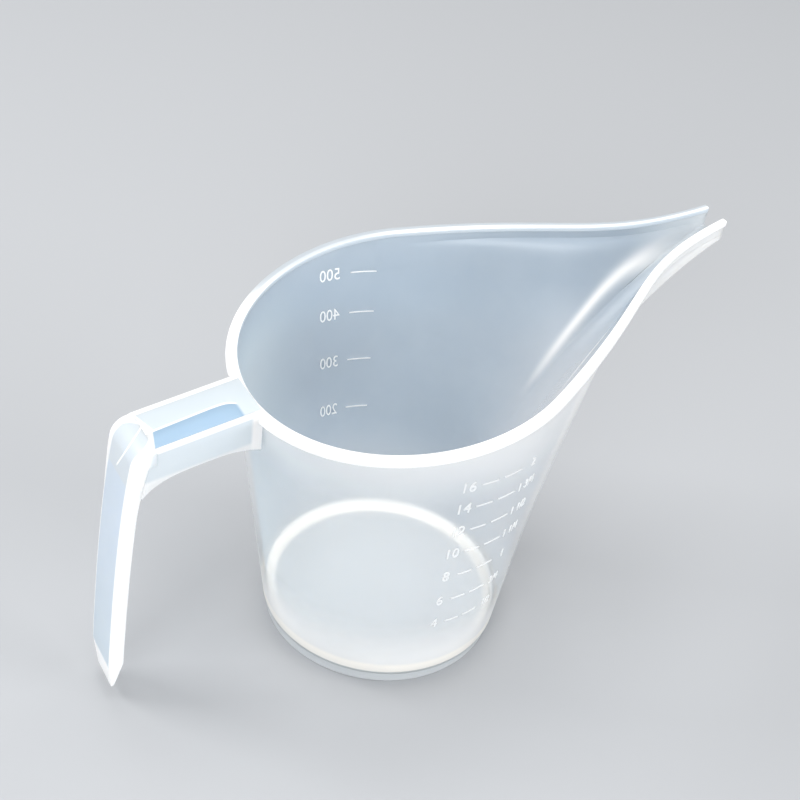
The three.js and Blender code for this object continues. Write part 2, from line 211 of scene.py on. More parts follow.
HALF_FLOOR = 3.5
FLOOR_CORNERS = [(HALF_FLOOR * x, HALF_FLOOR * y, 0)
                 for x, y in ((-1, -1), (1, -1), (1, 1), (-1, 1))]
FLOOR_COLOUR, BACKDROP = linear(183, 185, 188), linear(203, 206, 209)
SURROUND_LIGHT = (0.32, 0.325, 0.33, 1.0)
LAMPS = {  # place, what it is turned to, size, watts
    "key": ((-2.0, -1.9, 1.10), (0, 0, 0.06), (1.9, 1.3), 54.0),
    "fill": ((1.8, -2.0, 0.95), (0, 0, 0.06), (1.9, 1.3), 39.0),
    "top": ((0.1, 0.15, 1.9), (0, 0, 0.0), (1.2, 1.2), 20.0),
    "streak": ((-0.70, 0.50, 0.95), (0.07, 0, 0.10), (0.45, 0.3), 5.0),
}
scene.view_settings.view_transform = "Standard"
floor_paint = bpy.data.materials.new("studio_floor")
floor_paint.use_nodes = True
Graph(floor_paint.node_tree).fill(floor_paint.node_tree.nodes["Principled BSDF"],
                                  {"Base Color": FLOOR_COLOUR, "Roughness": 0.9})
floor_mesh = bpy.data.meshes.new("studio_floor")
floor_mesh.from_pydata(FLOOR_CORNERS, [], [(0, 1, 2, 3)])
floor_mesh.materials.append(floor_paint)
placed("studio_floor", floor_mesh)

world = bpy.data.worlds.new("studio")
world.use_nodes = True
sky = Graph(world.node_tree)
seen = sky.add("ShaderNodeLightPath").socket.node.outputs
looked_at = Value(sky, seen["Is Camera Ray"]) + Value(sky, seen["Is Glossy Ray"])
looked_at = (looked_at + Value(sky, seen["Is Transmission Ray"])).clip()
sky.fill(world.node_tree.nodes["Background"],
         {"Color": sky.blend(looked_at, SURROUND_LIGHT, BACKDROP)})
scene.world = world
for name, settings in LAMPS.items():
    lamp(name, *settings)
print("lamps:", list(LAMPS))

# %% [markdown]
# ## The plastics
#
# The one plastic looks bluish and half clear where it is thin. Where it is deep, as along the
# rim and the edges of the handle, it scatters all the light back and turns near white. So each
# finish starts from the same recipe: a milky base with some light scattered under the surface, a
# satin gloss, a faint cloudiness, and the fine waviness of a moulded surface. How much light
# passes a face is painted like the colour, and so is a small glow, painted light that brightens
# some thick corners.

# %% The recipe
GLOW = 0.24
NOISES = ((55.0, 3.0), (420.0, 2.0))  # scale and detail of the cloudiness and the ripple
CLOUD_IN_COLOUR, CLOUD_IN_GLOSS, RIPPLE_IN_BUMP = 0.2, 0.08, 0.4
BUMP = {"Strength": 0.12, "Distance": 0.0002}
REFRACTION, SCATTER_DEPTH, SCATTER_TINT = 1.49, 0.004, (1.0, 1.1, 1.25)
CLOUDY_WHITE, GLOW_WHITE = linear(246, 249, 251), linear(255, 252, 244)
BLACK, WHITE = (0, 0, 0, 1), linear(255, 255, 255)


def milky(name, paint, see_through, gloss=0.34, scatter=0.25, glow=None):
    """A finish. paint takes the graph and the place's X, Y and Z and returns a colour;
    see_through and glow do the same for the share of light that passes one face, and for
    where a painted glow, painted light, brightens thick corners and the spout's streak."""
    material = bpy.data.materials.new(name)
    material.use_nodes = True
    graph = Graph(material.node_tree)
    place = graph.add("ShaderNodeTexCoord", out=3)
    x, y, z = graph.split(place)
    spot = (graph, x - AXIS_X, y, z)
    cloud, ripple = (
        graph.add("ShaderNodeTexNoise", {"Vector": place, "Scale": scale, "Detail": detail})
        for scale, detail in NOISES
    )
    sockets = {
        "Base Color": graph.blend((cloud - 0.4) * CLOUD_IN_COLOUR, paint(*spot), CLOUDY_WHITE),
        "Alpha": 1.0 - (see_through(*spot) if callable(see_through) else see_through),
        "Roughness": (cloud - 0.5) * CLOUD_IN_GLOSS + gloss,
        "Normal": graph.add("ShaderNodeBump", {**BUMP, "Height": ripple * RIPPLE_IN_BUMP + cloud}),
        "IOR": REFRACTION, "Subsurface Weight": scatter,
        "Subsurface Radius": SCATTER_TINT, "Subsurface Scale": SCATTER_DEPTH,
    }
    if glow:
        sockets["Emission Color"] = graph.blend(glow(*spot), BLACK, GLOW_WHITE)
        sockets["Emission Strength"] = GLOW
    graph.fill(material.node_tree.nodes["Principled BSDF"], sockets)
    return material


# %% [markdown]
# The paints are plain rules of place, with x counted from the cup's axis. Most are layers: each
# says along which measure it fades in, from where to where, and in which colour.

# %% Paints of the wall and the rim
CORNER_FADE = (0.0080, 0.0105)  # heights over which the bright corner at the floor ends
WARM_FADE, FOOT_LINE = (0.0080, 0.0100), (0.0050, 0.0056)
LOW_FADE, UPPER_FADE = (0.010, 0.032), (0.078, 0.105)  # the wall is denser low and high up
ACROSS = (-0.02, 0.02)  # from the near half of the cup to the far one
CLEAR, LOW_CLEAR = 0.76, 0.20  # share of light that passes the wall, and its lowest part
RIM_LOSS, FAR_LOSS = 0.40, 0.62
# Painted highlight: a white streak, with a painted glow, along the spout's channel.
STREAK_LINE, STREAK_DRIFT, STREAK_WIDTH, STREAK_GLOW = 0.0061, 0.0029, 0.0009, 0.4
STREAK_START, STREAK_END = (0.048, 0.062), (0.082, 0.098)
CORNER_WHITE = linear(255, 253, 248)


def layered(graph, colour, *layers):
    """A colour under layers of (measure, start, end, colour), the last on top."""
    for measure, start, end, over in layers:
        colour = graph.blend(graph.ease(measure, start, end), colour, linear(*over))
    return colour


def outer_paint(graph, x, y, z):
    base = layered(graph, linear(236, 238, 239), (z, 0.012, 0.075, (249, 249, 248)))
    base = graph.blend(graph.ease(z, *WARM_FADE), linear(255, 252, 245), base)
    return graph.blend(graph.ease(z, *FOOT_LINE), linear(204, 210, 213), base)


def crease(graph, x, y):
    """Painted highlight: a white streak where the channel's bottom turns up into its sides, 0 to
    1.
    """
    line = STREAK_LINE - graph.ease(x, 0.070, 0.100) * STREAK_DRIFT
    off = (y.math("ABSOLUTE") - line) / STREAK_WIDTH
    ends = graph.ease(x, *STREAK_START) * (1.0 - graph.ease(x, *STREAK_END) * 0.8)
    return math.e ** (off * off * -1) * ends


# Painted shade and light over the thin plastic's own bluish tone: the inside is painted darker
# above its corner, darkest in the spout, and lighter at the back and at the spout's tip.
def inner_paint(graph, x, y, z):
    base = layered(
        graph, linear(200, 207, 214),
        (z, 0.012, 0.045, (168, 185, 200)),
        (-x, 0.005, 0.046, (208, 224, 233)),
        (z, 0.085, 0.105, (176, 190, 203)),
        (x, 0.020, 0.055, (160, 174, 187)),
        (x, 0.078, 0.098, (200, 209, 216)),
    )
    # Painted highlight: the spout's streak is painted white.
    base = graph.blend(crease(graph, x, y), base, WHITE)
    return graph.blend(graph.ease(z, *CORNER_FADE), CORNER_WHITE, base)


def wall_clear(graph, x, y, z):
    low = LOW_CLEAR + graph.ease(z, *LOW_FADE) * (CLEAR - LOW_CLEAR)
    return low - graph.ease(z, *UPPER_FADE) * RIM_LOSS


def inside_clear(graph, x, y, z):
    clear = CLEAR - graph.ease(z, *UPPER_FADE) * RIM_LOSS
    clear = clear * (1.0 - graph.ease(y, -0.010, 0.020) * FAR_LOSS)
    return clear * graph.ease(z, *CORNER_FADE)


# Painted light: a glow on the far half of the bright corner at the floor, and along the spout's
# painted streak.
def inner_glow(graph, x, y, z):
    low_corner = (1.0 - graph.ease(z, *CORNER_FADE)) * graph.ease(y, *ACROSS)
    return (low_corner + crease(graph, x, y) * STREAK_GLOW).clip()


outside = milky("wall_outside", outer_paint, wall_clear)
inside = milky("wall_inside", inner_paint, inside_clear, glow=inner_glow)


# Painted shade: the far rim is painted darker at the spout, along the flank, at the back, and on
# its outer half.
FAR_SIDE, FAR_BACK = (0.0, 0.006), (0.036, 0.049)
SPOUT_FADE, FLANK_FADE, OUTER_HALF = (0.035, 0.085), (0.005, 0.030), (0.34, 0.52)


def rim_paint(graph, x, y, z):
    inner_side = graph.attribute("inner_side")
    from_inside = graph.attribute("from_inside")
    far_side, far_back = graph.ease(y, *FAR_SIDE), graph.ease(y, *FAR_BACK)
    far_lip = far_side * graph.ease(x, *SPOUT_FADE)
    far_flank = far_side * graph.ease(x, *FLANK_FADE)
    top = graph.blend(far_lip, linear(252, 253, 253), linear(224, 231, 236))
    top = graph.blend(far_back * (1.0 - far_flank), top, linear(203, 209, 213))
    outer_half = graph.ease(from_inside, *OUTER_HALF) * (far_back + far_flank).clip()
    top = graph.blend(outer_half, top, linear(184, 191, 197))
    return graph.blend(inner_side, top, linear(200, 210, 219))


rim_white = milky("rim_white", rim_paint, see_through=0.0, scatter=0.3)
print("finishes:", [m.name for m in bpy.data.materials])

# %% [markdown]
# ## The wall and its spout
#
# The cup is a cone on the back and a long pear shape on the front. It follows a rule, which suits
# Geometry Nodes: every level of the cup is an outline that starts as a circle and grows into the
# pear, and the keel, a curve seen from the side, says how far it has grown at each height. The
# tree bends a flat grid along that rule. Its sizes are named inputs, the same ones that the CAD
# model is made from.

# %% Sizes of the cup, in metres
SIZES = {
    "Foot top radius": 0.0384,  # the wall's radius where it stands on the foot
    "Foot height": 0.0042,
    "Floor top": 0.0060,
    "Rim radius": 0.0506,  # outside of the wall under the rim band
    "Rim height": 0.1080,  # top of the band, on the cup's axis
    "Band height": 0.0020,
    "Rim slope": 0.18,  # climb towards the spout
    "Rim shift": 0.0017,  # the rim's circle lies this far behind the foot's
    "Spout reach": 0.1067,  # cut end of the spout, from the axis
    "Spout half width": 0.0049,
    "Nose": 0.0160,  # the closed nose of the rule, past the cut end
}
(FOOT_TOP, FOOT_HEIGHT, FLOOR_TOP, RIM_RADIUS, RIM_HEIGHT, _, RIM_SLOPE, RIM_SHIFT, SPOUT_REACH,
 SPOUT_HALF, NOSE) = SIZES.values()
WALL = 0.0016
WELD = 1e-7  # points closer than this become one
FLANK = math.radians(65)  # the spout leaves the circle here, counted from the front
FLANK_REACH = 0.055
NECK_LENGTH, NECK_SPREAD = 0.038, 0.0043
SIDE_SHARE, NOSE_START = 0.84, 0.4  # of the front arc: what becomes the side, then straight
FADE_POWER = 4
KEEL_START, KEEL_LIFT, KEEL_RUN, KEEL_DEPTH = 0.0457, 0.0165, 0.0350, 0.973
TUCK = 0.010  # the wall's top edge is tucked this far into the band, as a share of its height
BACK_SHARE = 0.44  # share of the grid's half that goes round the circle
LOW_ROWS, KEEL_ROWS = 0.22, 0.90  # where the keel starts and ends among the grid's rows
WALL_COLUMNS, WALL_ROWS = 301, 121
EASED_FROM_X, EASED_LEVELS, EASING_ROUNDS = 0.012, (0.90, 0.998), 30  # inside, under the band
print("spout to axis:", SPOUT_REACH * 1000, "mm")


# %% Levels: 0 on the floor and 1 under the rim band, for plain sizes or a tree's inputs
def rim_under(x, size=SIZES):
    return size["Rim height"] - size["Band height"] + size["Rim slope"] * x


def height_at(level, x, size=SIZES):
    return size["Floor top"] + level * (rim_under(x, size) - size["Floor top"])


def level_of(x, z, size=SIZES):
    return (z - size["Floor top"]) / (rim_under(x, size) - size["Floor top"])


lean = (RIM_RADIUS - FOOT_TOP) / (rim_under(0) - FOOT_HEIGHT)
FLOOR_RADIUS = FOOT_TOP + lean * (FLOOR_TOP - FOOT_HEIGHT)


def radius_at(level, size=SIZES):
    return between(FLOOR_RADIUS, size["Rim radius"], level)


def front_at(level):
    x = radius_at(level) - RIM_SHIFT * level
    return Vector((x, height_at(level, x)))


def keel_points():
    start_level = level_of(FOOT_TOP, KEEL_START)
    start = front_at(start_level)
    along_wall = (front_at(start_level + 0.05) - start).normalized()
    scale = radius_at(KEEL_DEPTH) / RIM_RADIUS
    end_x = (SPOUT_REACH + NOSE + RIM_SHIFT) * scale - RIM_SHIFT * KEEL_DEPTH
    end = Vector((end_x, height_at(KEEL_DEPTH, end_x)))
    along_rim = Vector((1, RIM_SLOPE * KEEL_DEPTH)).normalized()
    return [start, start + along_wall * KEEL_LIFT, end - along_rim * KEEL_RUN, end], start_level


def side_points():
    start = Vector((RIM_RADIUS * math.cos(FLANK) - RIM_SHIFT, RIM_RADIUS * math.sin(FLANK)))
    heading = Vector((math.sin(FLANK), -math.cos(FLANK)))
    neck = Vector((SPOUT_REACH - NECK_LENGTH, SPOUT_HALF + NECK_SPREAD))
    tip = Vector((SPOUT_REACH, SPOUT_HALF))
    return [start, start + heading * FLANK_REACH, neck, tip]


KEEL, START_LEVEL = keel_points()
SIDE = side_points()
print("keel, in mm:", [[round(v * 1000, 1) for v in p] for p in KEEL])


# %% The rule as nodes
def new_tree(name, numbers):
    """An empty Geometry Nodes tree with named number inputs and a mesh in and out."""
    tree = bpy.data.node_groups.new(name, "GeometryNodeTree")
    tree.interface.new_socket("Geometry", in_out="INPUT", socket_type="NodeSocketGeometry")
    for label, value in numbers.items():
        socket = tree.interface.new_socket(label, in_out="INPUT", socket_type="NodeSocketFloat")
        socket.default_value = value
    tree.interface.new_socket("Geometry", in_out="OUTPUT", socket_type="NodeSocketGeometry")
    graph = Graph(tree)
    entry = tree.nodes.new("NodeGroupInput")
    graph.inputs = {s.name: Value(graph, s) for s in entry.outputs if s.name}
    return graph


def curve(points, t):
    """A point on a cubic Bezier curve with fixed control points, as two values."""
    rest = 1.0 - t
    weights = (rest * rest * rest, rest * rest * t * 3, rest * t * t * 3, t * t * t)
    terms = [[w * p[axis] for w, p in zip(weights, points)] for axis in (0, 1)]
    return [a + b + c + d for a, b, c, d in terms]


def outline(graph, level, grow, around):
    """X and Y of the half outline; around runs from 0 at the back to 1 at the nose."""
    size = graph.inputs
    radius = radius_at(level, size)
    centre = size["Rim shift"] * level * -1
    share = ((around - BACK_SHARE) / (1 - BACK_SHARE)).clip()
    turn = (around / BACK_SHARE).clip()
    angle = math.pi - turn * (math.pi - FLANK) - share * FLANK
    side_x, side_y = curve(SIDE, (share / SIDE_SHARE).clip())
    past = (share - SIDE_SHARE) / (1 - SIDE_SHARE)
    straight = (past / NOSE_START).clip()
    bend = ((past - NOSE_START) / (1 - NOSE_START)).clip() * (math.pi / 2)
    half = size["Spout half width"]
    pear_x = side_x + straight * (size["Nose"] - half) + half * bend.math("SINE")
    pear_y = side_y * bend.math("COSINE")
    scale = radius / size["Rim radius"]
    grow = grow * around.math("GREATER_THAN", BACK_SHARE)
    fade = (1.0 - grow) * (1.0 - grow ** FADE_POWER)
    x = between(centre + radius * angle.math("COSINE"),
                centre + (pear_x + size["Rim shift"]) * scale, grow)
    return x, between(pear_y * scale, radius * angle.math("SINE"), fade)


def finish_tree(graph, geometry, material, smooth=True):
    """Ends a tree: seams welded and faces smooth if asked, real faces, and their plastic."""
    if smooth:
        welded = graph.add("GeometryNodeMergeByDistance", {0: geometry, "Distance": 1e-6})
        geometry = graph.add("GeometryNodeSetShadeSmooth", {"Geometry": welded})
    real = graph.add("GeometryNodeRealizeInstances", {"Geometry": geometry})
    dressed = graph.add("GeometryNodeSetMaterial", {"Geometry": real, "Material": material})
    graph.fill(graph.tree.nodes.new("NodeGroupOutput"), {0: dressed})
    return graph.tree


def moved_to(graph, geometry, place):
    return graph.add("GeometryNodeSetPosition", {"Geometry": geometry, "Position": place})


def grid_of(graph, width, columns, rows):
    return graph.add("GeometryNodeMeshGrid", {
        "Size X": width, "Size Y": 1.0, "Vertices X": columns, "Vertices Y": rows,
    })


def wall_tree(columns, rows):
    graph = new_tree("wall_and_spout", SIZES)
    grid = grid_of(graph, 2.0, columns, rows)
    across, up, _ = graph.split(graph.add("GeometryNodeInputPosition"))
    side = across.math("SIGN")
    around = 1.0 - across.math("ABSOLUTE")
    row = up + 0.5
    low = (row / LOW_ROWS).clip()
    keel = ((row - LOW_ROWS) / (KEEL_ROWS - LOW_ROWS)).clip()
    top = ((row - KEEL_ROWS) / (1 - KEEL_ROWS)).clip()
    keel_x, keel_z = curve(KEEL, keel)
    size = graph.inputs
    keel_level = level_of(keel_x, keel_z, size)
    foot_level = level_of(0, FOOT_HEIGHT)
    into_band = 1 - KEEL_DEPTH + TUCK
    level = (low - 1.0) * (START_LEVEL - foot_level) + keel_level + top * into_band
    front = radius_at(keel_level, size)
    scale = front / size["Rim radius"]
    whole = (size["Spout reach"] + size["Nose"] + size["Rim shift"]) * scale
    grow = ((keel_x + size["Rim shift"] * keel_level - front) / (whole - front)).clip()
    x, y = outline(graph, level, grow, around)
    place = graph.vector(x + AXIS_X, y * side, height_at(level, x, size))
    return finish_tree(graph, moved_to(graph, grid, place), outside)


# %% [markdown]
# A tree only describes a shape. To get a plain mesh out of it, an object wears the tree as a
# modifier for a moment, Blender works it out, and the result is copied into a new mesh.

# %% From a tree to a mesh
def worked_out(made):
    """A new plain mesh of an object as its modifiers show it."""
    graph = bpy.context.evaluated_depsgraph_get()
    return bpy.data.meshes.new_from_object(made.evaluated_get(graph), depsgraph=graph)


def grown(name, tree, sizes, source=None):
    """The tree's result, as a plain mesh object."""
    holder = placed(name + "_holder", source or bpy.data.meshes.new(name))
    modifier = holder.modifiers.new("rule", "NODES")
    modifier.node_group = tree
    for item in tree.interface.items_tree:
        if item.in_out == "INPUT" and item.name in sizes:
            modifier[item.identifier] = sizes[item.name]
    mesh = worked_out(holder)
    bpy.data.objects.remove(holder)
    mesh.name = name
    return placed(name, mesh)


def applied(made):
    """Works an object's modifiers into its mesh."""
    mesh = worked_out(made)
    made.modifiers.clear()
    made.data = mesh
    mesh.name = made.name


def cut_tip(made):
    """Saws off what lies past the spout's cut end and closes the cut faces."""
    shape = bmesh.new()
    shape.from_mesh(made.data)
    everything = shape.verts[:] + shape.edges[:] + shape.faces[:]
    end = (AXIS_X + SPOUT_REACH, 0, 0)
    cut = bmesh.ops.bisect_plane(shape, geom=everything, dist=WELD, plane_co=end,
                                 plane_no=(1, 0, 0), clear_outer=True)
    edges = [e for e in cut["geom_cut"] if isinstance(e, bmesh.types.BMEdge)]
    capped = bmesh.ops.holes_fill(shape, edges=edges, sides=0)
    for face in capped["faces"]:
        face.material_index = 0
        face.smooth = False
    bmesh.ops.triangulate(shape, faces=capped["faces"])
    shape.normal_update()
    open_edges = sum(1 for e in shape.edges if not e.is_manifold)
    shape.to_mesh(made.data)
    shape.free()
    return open_edges


def ease_inside(made):
    """Rounds the crease that the wall's thickness leaves inside, below the band."""
    shape = bmesh.new()
    shape.from_mesh(made.data)
    shape.verts.ensure_lookup_table()
    chosen = []
    for vertex in shape.verts[len(shape.verts) // 2:]:
        x = vertex.co.x - AXIS_X
        if x > EASED_FROM_X and EASED_LEVELS[0] < level_of(x, vertex.co.z) < EASED_LEVELS[1]:
            chosen.append(vertex)
    for _ in range(EASING_ROUNDS):
        bmesh.ops.smooth_vert(shape, verts=chosen, factor=0.5,
                              use_axis_x=True, use_axis_y=True, use_axis_z=True)
    shape.to_mesh(made.data)
    shape.free()
    return len(chosen)


def report(made):
    low, high = ([round(end(v.co[i] for v in made.data.vertices) * 1000, 1) for i in range(3)]
                 for end in (min, max))
    print(made.name, "faces:", len(made.data.polygons), "box in mm:", low, high)


wall = grown("wall_shell", wall_tree(WALL_COLUMNS, WALL_ROWS), SIZES)
wall.data.materials.append(inside)
thick = wall.modifiers.new("thickness", "SOLIDIFY")
thick.thickness = WALL
thick.offset = -1
thick.use_even_offset = True
thick.material_offset = 1
thick.material_offset_rim = 0
applied(wall)
print("vertices eased under the band:", ease_inside(wall))
print("open edges left at the wall's cut:", cut_tip(wall))
report(wall)

# %% [markdown]
# ## The rim band
#
# A flat band runs round the top edge and stiffens it. It is a sweep: one small cross-section
# carried round the outline of the rim. The tree first makes the path, a ring of points put on the
# outline, and samples it for a place and a direction at every column of a grid. The section is a
# rounded rectangle by formula, and it gets narrower towards the spout's end.

# %% Sweep of the rim band
BAND = {
    "Band reach": 0.00178,  # a hair under the CAD band's 1.8 mm, whose box it has to stay in
    "Band reach at the tip": 0.0006,
    "Wall": WALL,
}
SQUARENESS = 0.38  # 1 gives an oval section, 0 a sharp rectangle
PATH_POINTS = 720  # round the rim
BAND_COLUMNS, SECTION_POINTS = 481, 25


def rim_tree(columns, points):
    graph = new_tree("rim_band", {**SIZES, **BAND})
    size = graph.inputs
    ring = graph.add("GeometryNodeMeshCircle", {"Vertices": PATH_POINTS})
    index = graph.add("GeometryNodeInputIndex")
    across = index / (PATH_POINTS / 2) - 1.0
    zero = across * 0.0
    x, y = outline(graph, zero + 1.0, zero + 1.0, 1.0 - across.math("ABSOLUTE"))
    flat = graph.vector(x, y * across.math("SIGN"))
    path = graph.add("GeometryNodeMeshToCurve", {0: moved_to(graph, ring, flat)})
    grid = grid_of(graph, 1.0, columns, points)
    run, turn, _ = graph.split(graph.add("GeometryNodeInputPosition"))
    sample = graph.add("GeometryNodeSampleCurve", {
        "Curves": path, "Factor": (run + 0.5).clip(),
    }, out=1, mode="FACTOR")
    node = sample.socket.node
    px, py, _ = graph.split(Value(graph, node.outputs["Position"]))
    tx, ty, _ = graph.split(Value(graph, node.outputs["Tangent"]))
    edge = between(size["Band reach"], size["Band reach at the tip"],
                   graph.ease(px, 0.0, SPOUT_REACH))
    angle = turn * (2 * math.pi) + math.pi / 4  # the section starts on a corner
    wide, tall = angle.math("COSINE"), angle.math("SINE")
    wide = wide.math("SIGN") * wide.math("ABSOLUTE") ** SQUARENESS
    tall = tall.math("SIGN") * tall.math("ABSOLUTE") ** SQUARENESS
    out = (edge - size["Wall"]) / 2 + (edge + size["Wall"]) / 2 * wide
    bx, by = px + ty * out, py - tx * out
    top = size["Rim height"] + size["Rim slope"] * bx
    place = graph.vector(bx + AXIS_X, by, top + size["Band height"] * (tall - 1.0) / 2)
    inner_side = graph.ease(wide * -1, 0.80, 0.90) * graph.ease(tall * -1, -0.75, -0.55)
    marked = grid
    for label, value in (("inner_side", inner_side), ("from_inside", (wide + 1.0) / 2)):
        marked = graph.add("GeometryNodeStoreNamedAttribute",
                           {"Geometry": marked, "Name": label, "Value": value})
    return finish_tree(graph, moved_to(graph, marked, place), rim_white)


rim = grown("rim_band", rim_tree(BAND_COLUMNS, SECTION_POINTS), {**SIZES, **BAND})
print("open edges left at the band's cut:", cut_tip(rim))
report(rim)

# %% [markdown]
# ## Foot and floor
#
# Both are turned shapes: a section carried round the axis. The floor's edge, the wall's foot and
# the foot ring meet in the thickest plastic of the cup, which is why a bright, slightly warm
# ring shows there, also through the wall. On the far half of the cup that ring also carries a
# painted glow, which is painted light.

# %% Turned pieces
TURN_STEPS = 192
FOOT_RADIUS, FOOT_WALL, FOOT_DRAFT, FOOT_EASE = 0.0375, 0.0022, 0.0002, 0.0004
FLOOR_OVERLAP = 0.0001  # the floor's top edge reaches this far into the wall
FLAT_RADIUS = 0.0330  # one more ring of the floor, inside its bright edge
RING = (0.0338, 0.0354)  # radii over which the floor turns into that edge
FLOOR_CLEAR = FOOT_CLEAR = 0.12


def closed_body(name, vertices, faces, material):
    """A smooth piece from points and faces, with its seams welded and normals outwards."""
    mesh = bpy.data.meshes.new(name)
    mesh.from_pydata(vertices, [], faces)
    shape = bmesh.new()
    shape.from_mesh(mesh)
    bmesh.ops.remove_doubles(shape, verts=shape.verts[:], dist=WELD)
    loose = [edge for edge in shape.edges if not edge.link_faces]
    bmesh.ops.delete(shape, geom=loose, context="EDGES")
    return outward(name, shape, mesh, material)


def outward(name, shape, mesh, material):
    """Ends a piece: faces smooth and turned outwards, put in the scene in its plastic."""
    bmesh.ops.recalc_face_normals(shape, faces=shape.faces[:])
    for face in shape.faces:
        face.smooth = True
    shape.to_mesh(mesh)
    shape.free()
    mesh.materials.append(material)
    return placed(name, mesh)


def turned(name, section, material):
    """A closed body from a section of (radius, height) points, turned about the cup's axis."""
    vertices, faces = [], []
    count = len(section)
    for step in range(TURN_STEPS):
        angle = 2 * math.pi * step / TURN_STEPS
        vertices += [(AXIS_X + r * math.cos(angle), r * math.sin(angle), z) for r, z in section]
        here, there = step * count, (step + 1) % TURN_STEPS * count
        for k in range(count):
            n = (k + 1) % count
            faces.append((here + k, there + k, there + n, here + n))
    return closed_body(name, vertices, faces, material)


def eased(corners, radius, steps=4):
    """The corners of a closed section, each cut by a small arc."""
    points = []
    for i, corner in enumerate(corners):
        here = Vector(corner)
        back = (Vector(corners[i - 1]) - here).normalized() * radius
        on = (Vector(corners[(i + 1) % len(corners)]) - here).normalized() * radius
        for k in range(steps + 1):
            t = k / steps
            points.append(tuple(here + back * (1 - t) ** 2 + on * t ** 2))
    return points


def at_edge(graph, x, y):
    return graph.ease((x * x + y * y) ** 0.5, *RING)


def floor_paint_by_radius(graph, x, y, z):
    return graph.blend(at_edge(graph, x, y), linear(223, 227, 229), CORNER_WHITE)


def floor_clear(graph, x, y, z):
    return FLOOR_CLEAR - at_edge(graph, x, y) * FLOOR_CLEAR


# Painted light: a glow on the far half of the floor's bright edge.
def floor_glow(graph, x, y, z):
    return at_edge(graph, x, y) * graph.ease(y, *ACROSS)


# Painted shade: the foot is painted darker than the wall, most above its bottom edge.
def foot_paint(graph, x, y, z):
    return layered(graph, linear(214, 219, 223), (z, 0.0, 0.0030, (200, 206, 210)))


floor_milk = milky("floor_milk", floor_paint_by_radius, floor_clear, glow=floor_glow)
foot_milk = milky("foot_milk", foot_paint, FOOT_CLEAR)
floor_radius = FOOT_TOP - WALL
foot = turned("foot", eased([
    (FOOT_RADIUS - FOOT_WALL, 0.0),
    (FOOT_RADIUS, 0.0),
    (FOOT_RADIUS + FOOT_DRAFT, FOOT_HEIGHT),
    (FOOT_RADIUS - FOOT_WALL - FOOT_DRAFT, FOOT_HEIGHT),
], FOOT_EASE), foot_milk)
floor_plate = turned("floor_plate", [
    (0.0, FOOT_HEIGHT),
    (floor_radius, FOOT_HEIGHT),
    (floor_radius + FLOOR_OVERLAP, FLOOR_TOP),
    (FLAT_RADIUS, FLOOR_TOP),
    (0.0, FLOOR_TOP),
], floor_milk)
report(foot)
report(floor_plate)

# %% [markdown]
# ## The handle
#
# Seen from the side the handle is an arm that falls slightly away from the cup, a bend, and a
# hanging grip with a pointed toe. The arm is hollow from below: a thin web on top and a plate on
# each side. The grip is solid. The arm's top line and the grip's face shape all of it, so these
# two lines come first, and the pieces are lofted and extruded from them.

# %% The handle's lines, as reach from the axis and height
ARM_HALF_WIDTH, ARM_RAISE, ARM_SLOPE = 0.0094, 0.0012, 0.15
WEB_THICKNESS, PLATE_THICKNESS, PLATE_DEPTH = 0.0016, 0.0020, 0.0100
FLARE_DEPTH, FLARE_LENGTH, FLARE_EASE = 0.0030, 0.0110, 0.0040
BEND_RADIUS, GRIP_THICKNESS, GRIP_HALF_WIDTH = 0.0060, 0.0045, 0.0076
BEND_STEPS, FACE_STEPS = 12, 40
NARROWING = 0.35  # share of the face over which the grip narrows from the arm's width
HANDLE_REACH, GRIP_TOP_REACH = 0.0960, 0.0881
GRIP_BOW_REACH, GRIP_BOW_DROP = 0.0932, 0.0264
GRIP_ROOT = 0.0015  # the bar starts this far before the bend
GRIP_EASE, ROOT_EASE, TOE_EASE = 0.0008, 0.0001, 0.0005
EASE_LIMIT = 0.45  # an edge's rounding takes at most this share of the bar's depth
TOE_START, TOE_HEIGHT, TOE_HALF_WIDTH = 0.0150, 0.0043, 0.0058
TOE_THICKNESS, TOE_TUCK, TOE_SLANT = 0.0012, 0.0010, 0.6
PLATE_CORNER_DROP, PLATE_CORNER_PAST, CORNER_PULL = 0.0146, 0.0002, Vector((-0.005, 0.006))
LAP = 0.0005  # the plates run this far into the grip's rounded back edge
RIM_BACK = RIM_SHIFT + RIM_RADIUS
WALL_BACK = RIM_BACK - 0.0006  # the arm ends inside the wall
BAND_BACK = RIM_BACK + BAND["Band reach"]
ARM_START = RIM_HEIGHT - RIM_SLOPE * BAND_BACK + ARM_RAISE


def arm_top(reach):
    return ARM_START - ARM_SLOPE * (reach - BAND_BACK)


corner = Vector((GRIP_TOP_REACH, arm_top(GRIP_TOP_REACH)))
bow = Vector((GRIP_BOW_REACH, corner.y - GRIP_BOW_DROP))
along_arm = Vector((-1, ARM_SLOPE)).normalized()
along_grip = (bow - corner).normalized()
bend_angle = math.pi - along_arm.angle(along_grip)
tangent = BEND_RADIUS * math.tan(bend_angle / 2)
bend_start, bend_end = corner + along_arm * tangent, corner + along_grip * tangent
bend_centre = bend_start + Vector((-ARM_SLOPE, -1)).normalized() * BEND_RADIUS
face_end = Vector((HANDLE_REACH, TOE_START))


